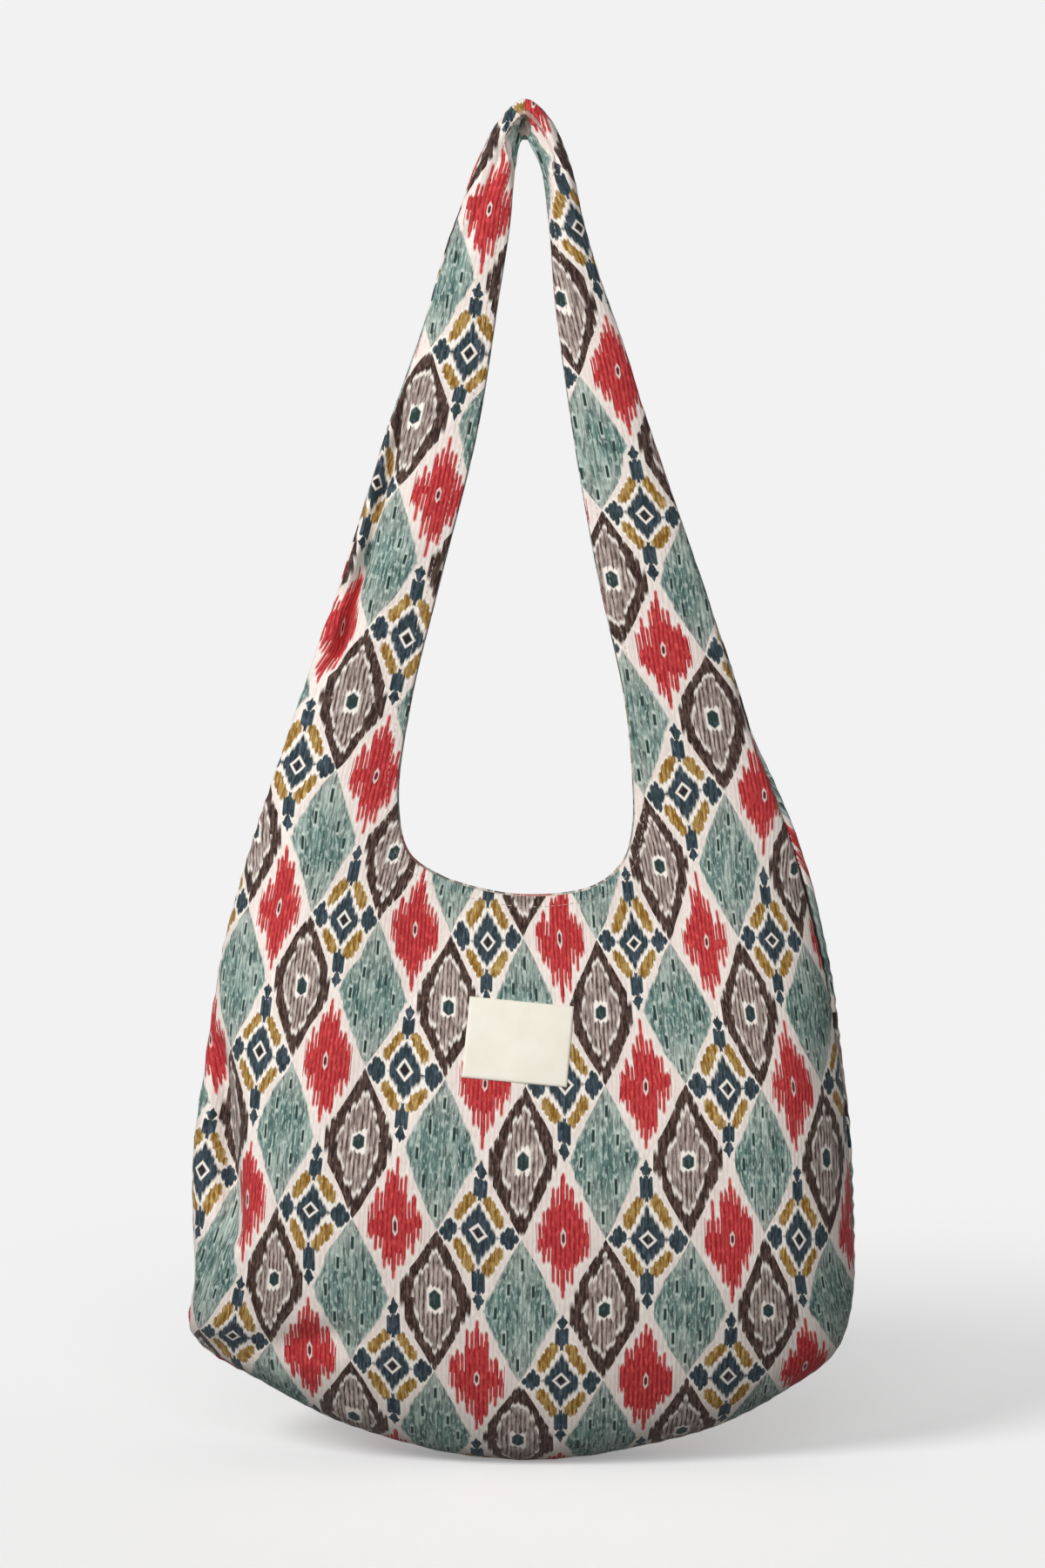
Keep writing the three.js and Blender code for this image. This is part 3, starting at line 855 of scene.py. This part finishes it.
# %% Teal diamond
TEAL_HALF, TEAL_POWER, TEAL_JITTER = (0.89, 1.04), 1.08, 0.10
DASH_HALF = (0.036, 0.085)
DASHES = (
    (0.03, -0.65), (-0.29, -0.32), (0.31, -0.26), (-0.58, 0.03),
    (0.55, 0.01), (-0.37, 0.40), (0.27, 0.36), (-0.05, 0.73),
)


def teal_dye_and_groove_shade(k):
    tint = k.start.mix(k.wash * 0.45 + k.stroke * 0.40, TEAL, TEAL_PALE)
    tint = k.start.mix(k.height.between(0.28, 0.95) * 0.75, tint, TEAL_GREY)
    tint = k.start.mix(k.streaks("faded") * 0.45, tint, TEAL_CREAM)
    tint = k.start.mix(k.streaks("shade") * 0.65, tint, TEAL_DARK)
    tint = k.start.mix(k.fleck * 0.55, tint, TEAL_CREAM)
    # Painted shade in the grooves between the strips.
    return k.start.mix(k.groove_shade * 0.50, tint, TEAL_DARK)


def teal_diamond(k, cloth):
    across = (k.plain_side * 0.7 + k.side * 0.3) / TEAL_HALF[0]
    edge = across**TEAL_POWER + (k.blades(TEAL_JITTER) / TEAL_HALF[1]) ** TEAL_POWER
    cloth = k.lay(cloth, edge - 1.06, 0.07, k.teal * 0.6, OUTLINE)
    cloth = k.lay(cloth, edge - 1, 0.08, k.teal, teal_dye_and_groove_shade(k))
    boxes = [(abs(k.x - x) / DASH_HALF[0]).most(abs(k.y - y) / DASH_HALF[1]) for x, y in DASHES]
    dash = boxes[0]
    for box in boxes[1:]:
        dash = dash.least(box)
    cloth = k.lay(cloth, dash - 1.5, 0.5, k.teal * k.rib.between(0.42, 0.52) * 0.8, TEAL_CREAM)
    return k.lay(cloth, dash - 1, 0.3, k.teal, GREEN)


# %% [markdown]
# The navy cross joins five kinds of small shape: a middle diamond, one on each side, and a tuft, a tip and a
# spike above and below. Four ochre bars lie along a wider diamond round the middle, cut off before they
# reach its corners.

# %% Navy cross
CROSS_HALF = (0.47, 0.41)
BESIDE_AT, BESIDE_HALF = 0.70, (0.26, 0.21)
TUFT_AT, TUFT_HALF = 0.65, (0.16, 0.125)
TIP_AT, TIP_HALF = 0.87, (0.15, 0.12)
SPIKE_AT, SPIKE_HALF = 0.55, (0.04, 0.10)
BAR_AT, BAR_HALF = 1.59, 0.34
BAR_MIDDLE, BAR_REACH = (0.33, 0.36), (0.25, 0.20)
RING_HALF = (0.215, 0.135)
CROSS_JITTER = 0.06


def navy_cross(k, cloth):
    reach = k.blades(CROSS_JITTER)
    middle = k.mixed_side / CROSS_HALF[0] + reach / CROSS_HALF[1]
    beside = abs(k.mixed_side - BESIDE_AT) / BESIDE_HALF[0] + (reach / BESIDE_HALF[1]) ** 1.2
    tuft = (k.plain_side / TUFT_HALF[0]).most(abs(reach - TUFT_AT) / TUFT_HALF[1])
    tip = k.plain_side / TIP_HALF[0] + abs(reach - TIP_AT) / TIP_HALF[1]
    spike = (k.plain_side / SPIKE_HALF[0]).most(abs(reach - SPIKE_AT) / SPIKE_HALF[1])
    navy = middle.least(beside).least(tuft).least(tip).least(spike)
    bar = (abs(k.plain_side - BAR_MIDDLE[0]) / BAR_REACH[0]).most(abs(reach - BAR_MIDDLE[1]) / BAR_REACH[1])
    bar = bar.most(abs(middle - BAR_AT) / BAR_HALF)
    cloth = k.lay(cloth, navy.least(bar) - 1.22, 0.16, k.navy, OUTLINE)
    cloth = k.lay(cloth, bar - 1, 0.2, k.navy, k.dyed_with_groove_shade(OCHRE, OCHRE_PALE, k.stroke * 0.45 + k.fleck * 0.45))
    cloth = k.lay(cloth, middle - 1.19, 0.12, k.navy, OUTLINE)
    tint = k.dyed_with_groove_shade(NAVY, NAVY_PALE, k.stroke * 0.35 + k.fleck * 0.40)
    cloth = k.lay(cloth, navy - 1, 0.15, k.navy, k.start.mix(k.wash * 0.6, tint, GREEN))
    ring = k.plain_side / RING_HALF[0] + k.height / RING_HALF[1]
    cloth = k.lay(cloth, ring - 1, 0.2, k.navy, OUTLINE)
    return k.lay(cloth, ring - 0.64, 0.2, k.navy, k.dyed_with_groove_shade(DARK, NAVY_PALE, k.fleck * 0.4))


# %% [markdown]
# The canvas is matt, with a trace of sheen from its cotton fibres. The ground is laid first and the motifs
# over it. The weave is bump: fine ribs up the cloth, crossed by the weft. The colour also carries painted
# shade in the grooves between the strips, and a painted highlight along their middles in the red and the
# mauve. The wrong side shows the print faintly, as dye that has come through, so it is the same material
# mixed towards the raw cotton.

# %% The canvas
WEFT_PER_ROW = 40
RAW_COTTON = colour(196, 184, 172)


def ikat(tree):
    k = Lattice(tree)
    # The ground varies at random, with painted shade in the grooves between the strips.
    cloth = k.start.mix(k.wash * 0.45 + k.fleck * 0.30 + k.groove_shade * 0.3, GROUND, GROUND_DARK)
    for motif in (red_lozenge, brown_eye, teal_diamond, navy_cross):
        cloth = motif(k, cloth)
    warp = k.p.maths("SINE", k.p * (2 * math.pi / STRIP))
    weft = k.q.maths("SINE", k.q * (2 * math.pi * WEFT_PER_ROW))
    weave = warp * 0.35 + warp * weft * 0.25 + k.rib * 0.6 + k.thread * 0.5
    return cloth, weave


def matt_cloth(name, roughness, sheen):
    material = bpy.data.materials.new(name)
    material.use_nodes = True
    tree = material.node_tree
    shader = tree.nodes["Principled BSDF"]
    shader.inputs["Roughness"].default_value = roughness
    shader.inputs["Specular IOR Level"].default_value = 0.25
    shader.inputs["Sheen Weight"].default_value = sheen
    shader.inputs["Sheen Roughness"].default_value = 0.5
    return material, tree, shader


def printed_canvas(name, fading):
    material, tree, shader = matt_cloth(name, roughness=0.88, sheen=0.08)
    cloth, weave = ikat(tree)
    if fading:
        cloth = cloth.mix(fading, cloth, RAW_COTTON)
    tree.links.new(cloth.socket, shader.inputs["Base Color"])
    bump = cloth.node("ShaderNodeBump", None, {"Height": weave, "Strength": 0.35, "Distance": 0.0004})
    tree.links.new(bump.socket, shader.inputs["Normal"])
    print(name, len(tree.nodes), "nodes")
    return material


canvas = printed_canvas("printed_canvas", fading=0.0)
canvas_inside = printed_canvas("canvas_wrong_side", fading=0.55)
for piece in (front, back):
    piece.data.materials.append(canvas)
    piece.data.materials.append(canvas_inside)

# %% [markdown]
# The label is a small rectangle of plain cream cotton, sewn on a little askew. It follows the cloth under
# it: a ray is sent back from each of its points onto the front panel.

# %% The label
LABEL_WIDTH, LABEL_HEIGHT, LABEL_THICKNESS = 0.060, 0.045, 0.0007
LABEL_MIDDLE = (-0.004, -STRAP_DROP - 0.082)
LABEL_TILT = math.radians(-5.4)
LABEL_GAP = 0.0002
LABEL_STEPS = (48, 36)
# The label thins to this share of its thickness over this width at its edges.
LABEL_THIN, LABEL_EDGE = 0.55, 0.0012
LABEL_WEAVE = 0.0006
RAY_START = -0.3

bpy.context.view_layer.update()
front_surface = front.evaluated_get(bpy.context.evaluated_depsgraph_get())


def on_front(x, z):
    _, place, normal, _ = front_surface.ray_cast(Vector((x, RAY_START, z)), Vector((0, 1, 0)))
    return place, normal


def label_point(across, down):
    x, z = across * LABEL_WIDTH, -down * LABEL_HEIGHT
    cos, sin = math.cos(LABEL_TILT), math.sin(LABEL_TILT)
    return on_front(LABEL_MIDDLE[0] + (x * cos - z * sin), LABEL_MIDDLE[1] + (x * sin + z * cos))


def label_faces(columns, rows):
    behind = (columns + 1) * (rows + 1)

    def at(r, c):
        return r * (columns + 1) + c

    faces = []
    for r in range(rows):
        for c in range(columns):
            quad = (at(r, c), at(r + 1, c), at(r + 1, c + 1), at(r, c + 1))
            faces.append(quad)
            faces.append(tuple(behind + k for k in quad[::-1]))
    rim = [at(0, c) for c in range(columns)] + [at(r, columns) for r in range(rows)]
    rim += [at(rows, c) for c in range(columns, 0, -1)] + [at(r, 0) for r in range(rows, 0, -1)]
    for here, after in zip(rim, rim[1:] + rim[:1]):
        faces.append((here, after, behind + after, behind + here))
    return faces


def label_piece():
    columns, rows = LABEL_STEPS
    outward = label_point(0, 0)[1]
    face, rear, uv = [], [], []
    for r in range(rows + 1):
        for c in range(columns + 1):
            across, down = c / columns - 0.5, r / rows - 0.5
            place, _ = label_point(across, down)
            edge = min(0.5 - abs(across), (0.5 - abs(down)) * LABEL_HEIGHT / LABEL_WIDTH) * LABEL_WIDTH
            crown = LABEL_THICKNESS * (LABEL_THIN + (1 - LABEL_THIN) * min(1, edge / LABEL_EDGE))
            face.append(place + outward * (LABEL_GAP + crown))
            rear.append(place + outward * LABEL_GAP)
            uv.append((across * LABEL_WIDTH, down * LABEL_HEIGHT))
    mesh = bpy.data.meshes.new("label_cloth")
    mesh.from_pydata(face + rear, [], label_faces(columns, rows))
    layer = mesh.uv_layers.new(name="tape")
    both = uv + uv
    for loop in mesh.loops:
        layer.data[loop.index].uv = both[loop.vertex_index]
    mesh.polygons.foreach_set("use_smooth", np.ones(len(mesh.polygons), bool))
    mesh.update()
    piece = bpy.data.objects.new("label_cloth", mesh)
    bpy.context.scene.collection.objects.link(piece)
    return piece


label = label_piece()


def label_cotton():
    material, tree, shader = matt_cloth("label_cotton", roughness=0.7, sheen=0.1)
    start = Wire(tree)
    place = start.node("ShaderNodeUVMap", {"uv_map": "tape"})
    cloudy = start.node("ShaderNodeTexNoise", None, {"Vector": place, "Scale": 60.0, "Detail": 3.0}, "Fac")
    cotton = start.mix(cloudy.between(0.3, 0.7), colour(248, 243, 229), colour(243, 236, 219))
    tree.links.new(cotton.socket, shader.inputs["Base Color"])
    u, v = (part.maths("SINE", part * (2 * math.pi / LABEL_WEAVE)) for part in start.pair(place))
    bump = start.node("ShaderNodeBump", None, {"Height": u * v, "Strength": 0.2, "Distance": 0.0002})
    tree.links.new(bump.socket, shader.inputs["Normal"])
    return material


label.data.materials.append(label_cotton())
print("label:", len(label.data.polygons), "faces")

# %% [markdown]
# The hem is held by a row of topstitching, 6 mm from the free edge. Geometry Nodes suit it: the row is a
# curve on the cloth, resampled at the stitch pitch, with one short thread set on each point and turned
# along the curve.

# %% The stitches as a node tree
STITCH_SIZES = {"Pitch": 0.0036, "Length": 0.0025, "Thickness": 0.00048}
STITCH_ROUND = {"Segments": 6, "Rings": 5, "Radius": 0.5}


def stitch_tree(thread):
    tree = bpy.data.node_groups.new("topstitch", "GeometryNodeTree")
    interface = tree.interface
    interface.new_socket("Geometry", in_out="INPUT", socket_type="NodeSocketGeometry")
    for title in STITCH_SIZES:
        interface.new_socket(title, in_out="INPUT", socket_type="NodeSocketFloat")
    interface.new_socket("Geometry", in_out="OUTPUT", socket_type="NodeSocketGeometry")

    def node(kind, **settings):
        made = tree.nodes.new(kind)
        for title, value in settings.items():
            setattr(made, title, value)
        return made

    link = tree.links.new
    enter, leave = node("NodeGroupInput"), node("NodeGroupOutput")
    rows = node("GeometryNodeResampleCurve", mode="LENGTH")
    link(enter.outputs["Geometry"], rows.inputs["Curve"])
    link(enter.outputs["Pitch"], rows.inputs["Length"])
    stitch = node("GeometryNodeMeshUVSphere")
    for title, value in STITCH_ROUND.items():
        stitch.inputs[title].default_value = value
    size = node("ShaderNodeCombineXYZ")
    link(enter.outputs["Thickness"], size.inputs["X"])
    link(enter.outputs["Thickness"], size.inputs["Y"])
    link(enter.outputs["Length"], size.inputs["Z"])
    tangent = node("GeometryNodeInputTangent")
    turned = node("FunctionNodeAlignRotationToVector", axis="Z")
    link(tangent.outputs["Tangent"], turned.inputs["Vector"])
    placed = node("GeometryNodeInstanceOnPoints")
    link(rows.outputs["Curve"], placed.inputs["Points"])
    link(stitch.outputs["Mesh"], placed.inputs["Instance"])
    link(turned.outputs["Rotation"], placed.inputs["Rotation"])
    link(size.outputs["Vector"], placed.inputs["Scale"])
    real = node("GeometryNodeRealizeInstances")
    link(placed.outputs["Instances"], real.inputs["Geometry"])
    finish = node("GeometryNodeSetMaterial")
    finish.inputs["Material"].default_value = thread
    link(real.outputs["Geometry"], finish.inputs["Geometry"])
    link(finish.outputs["Geometry"], leave.inputs["Geometry"])
    return tree


def cotton_thread():
    material, tree, shader = matt_cloth("cotton_thread", roughness=0.6, sheen=0.2)
    start = Wire(tree)
    place = start.node("ShaderNodeTexCoord", None, None, "Object")
    ply = start.node("ShaderNodeTexNoise", None, {"Vector": place, "Scale": 900.0, "Detail": 1.0}, "Fac")
    tone = start.mix(ply, colour(170, 152, 140), colour(206, 190, 178))
    tree.links.new(tone.socket, shader.inputs["Base Color"])
    return material


stitches = stitch_tree(cotton_thread())
print("stitch tree:", len(stitches.nodes), "nodes")

# %% [markdown]
# The tree gets its curve from the grid of each panel: the points at one distance from the free edge,
# lifted just clear of the cloth. The result is turned into a plain mesh, and the curve with its modifier
# is removed.

# %% Topstitching
STITCH_LINE, STITCH_LIFT = 0.0062, 0.00005
STITCH_SHARE = 0.3


def row_on_cloth(cloth, along, back):
    normal = line_normals(cloth) * (-1 if back else 1)
    path = []
    for points, normals, lengths in zip(cloth, normal, along):
        near = np.minimum(STITCH_LINE, lengths[-1] * STITCH_SHARE)
        lifted = points + normals * STITCH_LIFT
        path.append([np.interp(near, lengths, lifted[:, k]) for k in range(3)])
    return np.array(path)


def stitch_row(name, paths, tree):
    curve = bpy.data.curves.new(name + "_path", "CURVE")
    curve.dimensions = "3D"
    for path in paths:
        spline = curve.splines.new("POLY")
        spline.points.add(len(path) - 1)
        points = np.column_stack([path, np.ones(len(path))])
        spline.points.foreach_set("co", points.astype(np.float32).ravel())
        spline.use_cyclic_u = True
    holder = bpy.data.objects.new(name + "_path", curve)
    bpy.context.scene.collection.objects.link(holder)
    modifier = holder.modifiers.new("stitches", "NODES")
    modifier.node_group = tree
    for socket in tree.interface.items_tree:
        if socket.name in STITCH_SIZES:
            modifier[socket.identifier] = STITCH_SIZES[socket.name]
    evaluated = holder.evaluated_get(bpy.context.evaluated_depsgraph_get())
    mesh = bpy.data.meshes.new_from_object(evaluated)
    mesh.name = name
    bpy.data.objects.remove(holder)
    piece = bpy.data.objects.new(name, mesh)
    bpy.context.scene.collection.objects.link(piece)
    print(name, len(mesh.polygons), "faces")
    return piece


front_row = row_on_cloth(front_cloth, front_parts[2], False)
back_row = row_on_cloth(back_cloth, back_parts[2], True)
topstitch = stitch_row("hem_stitches", [front_row, back_row], stitches)

# %% [markdown]
# Each piece is set under the bag's body, and the solid part of the model that it stands for is hidden. The
# panels are sheets of cloth that hang.

for piece, node in ((front, "front_panel"), (back, "back_panel"), (label, "label")):
    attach(piece, "root")
    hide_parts(node)
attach(topstitch, "root")
print("pieces:", [piece.name for piece in (front, back, label, topstitch)])

# %% [markdown]
# The photograph is a plain studio shot with soft light from the upper left. Two round area lamps make it:
# a key on the left, and a broad fill from the front. A third lamp lights the back of the bag for views
# from behind. Light linking keeps it off the floor, where it would weaken the shadow.

# %% Lamps
# A lamp: its place, the point that it faces, its width and its power.
LAMPS = {
    "key": ((-1.05, -1.15, 0.35), (0, 0, -0.5), 0.7, 20),
    "fill": ((0.0, -2.1, 0.1), (0, 0, -0.45), 1.6, 17.5),
}
BACK_LAMP = ((0.3, 2.1, 0.1), (0, 0, -0.4), 1.2, 24)


def area_lamp(name, place, target, size, power):
    lamp = bpy.data.lights.new(name, "AREA")
    lamp.shape, lamp.size, lamp.energy = "DISK", size, power
    holder = bpy.data.objects.new(name, lamp)
    holder.location = place
    holder.rotation_euler = (Vector(target) - Vector(place)).to_track_quat("-Z", "Y").to_euler()
    bpy.context.scene.collection.objects.link(holder)
    return holder


for title, lamp in LAMPS.items():
    area_lamp(title, *lamp)
behind = area_lamp("back", *BACK_LAMP)
bag = bpy.data.collections.new("bag")
for piece in (front, back, label, topstitch):
    bag.objects.link(piece)
behind.light_linking.receiver_collection = bag
print("lamps:", [*LAMPS, behind.name])

# %% [markdown]
# Floor and background are one even pale tone in the photograph, with a soft shadow beside the base. A lit
# floor grows darker away from the lamps, so the light that falls on it is worked out in the material, and
# a glow adds what is missing from the pale tone. What the bag shades then still shows as shadow. Farther
# off, the floor is the pale tone alone. All this is only for rays from the camera and for reflections.
# Other rays meet a dim floor, and a world that lights the bag softly from everywhere.

# %% Floor and background
FLOOR_Z = cad_box[0][2]
FLOOR_HALF = 4.0
FLOOR_MIDDLE, FLOOR_NEAR = (0.1, 0.2, 0), (0.5, 0.9)
PALE, DIM = colour(242, 242, 242), colour(90, 90, 90)
BLACK, WHITE = (0, 0, 0, 1), (1, 1, 1, 1)
SKY = 0.185


def looked_at(start):
    rays = start.node("ShaderNodeLightPath").socket.node
    seen = Wire(start.tree, rays.outputs["Is Camera Ray"])
    for title in ("Is Glossy Ray", "Is Transmission Ray"):
        seen = seen.most(Wire(start.tree, rays.outputs[title]))
    return seen


def light_on_floor(x, y):
    total = SKY
    for place, target, _, power in LAMPS.values():
        axis = (Vector(target) - Vector(place)).normalized()
        height = place[2] - FLOOR_Z
        across, along = x - place[0], y - place[1]
        facing = (across * axis.x + along * axis.y - height * axis.z).most(0.0)
        square = across * across + along * along + height * height
        total = total + facing * (power * height / math.pi**2) / (square * square)
    return total


def pale_floor():
    material = bpy.data.materials.new("pale_floor")
    material.use_nodes = True
    tree = material.node_tree
    tree.nodes.clear()
    start = Wire(tree)
    place = start.node("ShaderNodeTexCoord", None, None, "Object")
    lit = start.node("ShaderNodeBsdfDiffuse", None, {"Color": WHITE})
    missing = start.mix(PALE[0] - light_on_floor(*start.pair(place)), BLACK, WHITE)
    glow = start.node("ShaderNodeEmission", None, {"Color": missing, "Strength": 1.0})
    near = start.node("ShaderNodeAddShader", None, {0: lit, 1: glow})
    far = start.node("ShaderNodeEmission", None, {"Color": PALE, "Strength": 1.0})
    settings = {"operation": "DISTANCE"}
    distance = start.node("ShaderNodeVectorMath", settings, {0: place, 1: FLOOR_MIDDLE}, "Value")
    seen = start.node("ShaderNodeMixShader", None, {0: distance.between(*FLOOR_NEAR), 1: near, 2: far})
    dim = start.node("ShaderNodeBsdfDiffuse", None, {"Color": DIM})
    blend = start.node("ShaderNodeMixShader", None, {0: looked_at(start), 1: dim, 2: seen})
    output = tree.nodes.new("ShaderNodeOutputMaterial")
    tree.links.new(blend.socket, output.inputs["Surface"])
    return material


def studio_floor():
    mesh = bpy.data.meshes.new("studio_floor")
    corners = [(-1, -1), (1, -1), (1, 1), (-1, 1)]
    mesh.from_pydata([(x * FLOOR_HALF, y * FLOOR_HALF, 0) for x, y in corners], [], [(0, 1, 2, 3)])
    mesh.materials.append(pale_floor())
    floor = bpy.data.objects.new("studio_floor", mesh)
    floor.location = (0, 0, FLOOR_Z)
    bpy.context.scene.collection.objects.link(floor)


def studio_world():
    world = bpy.data.worlds.new("studio")
    world.use_nodes = True
    tree = world.node_tree
    tree.nodes.clear()
    start = Wire(tree)
    light = start.node("ShaderNodeBackground", None, {"Color": WHITE, "Strength": SKY})
    pale = start.node("ShaderNodeBackground", None, {"Color": PALE, "Strength": 1.0})
    blend = start.node("ShaderNodeMixShader", None, {0: looked_at(start), 1: light, 2: pale})
    output = tree.nodes.new("ShaderNodeOutputWorld")
    tree.links.new(blend.socket, output.inputs["Surface"])
    bpy.context.scene.world = world


studio_floor()
studio_world()
print("floor at", round(FLOOR_Z, 4))

# %% [markdown]
# The camera stands level with the middle of the bag. Its frame is as tall as the photograph at the bag's
# plane, so the lens follows from the distance.

# %% Camera
CAMERA_DISTANCE = 1.6
CAMERA_X, CAMERA_Z = -0.0015, -0.380
PHOTO_ROWS, PHOTO_STEP = 1800, 0.00051
SENSOR = 24
camera = bpy.data.cameras.new("camera")
camera.sensor_fit = "VERTICAL"
camera.sensor_height = SENSOR
camera.lens = SENSOR * CAMERA_DISTANCE / (PHOTO_ROWS * PHOTO_STEP)
viewer = bpy.data.objects.new("camera", camera)
viewer.location = (CAMERA_X, -CAMERA_DISTANCE, CAMERA_Z)
viewer.rotation_euler = (math.pi / 2, 0, 0)
bpy.context.scene.collection.objects.link(viewer)
bpy.context.scene.camera = viewer
bpy.context.scene.view_settings.view_transform = "Standard"
print("lens", round(camera.lens, 1), "mm")
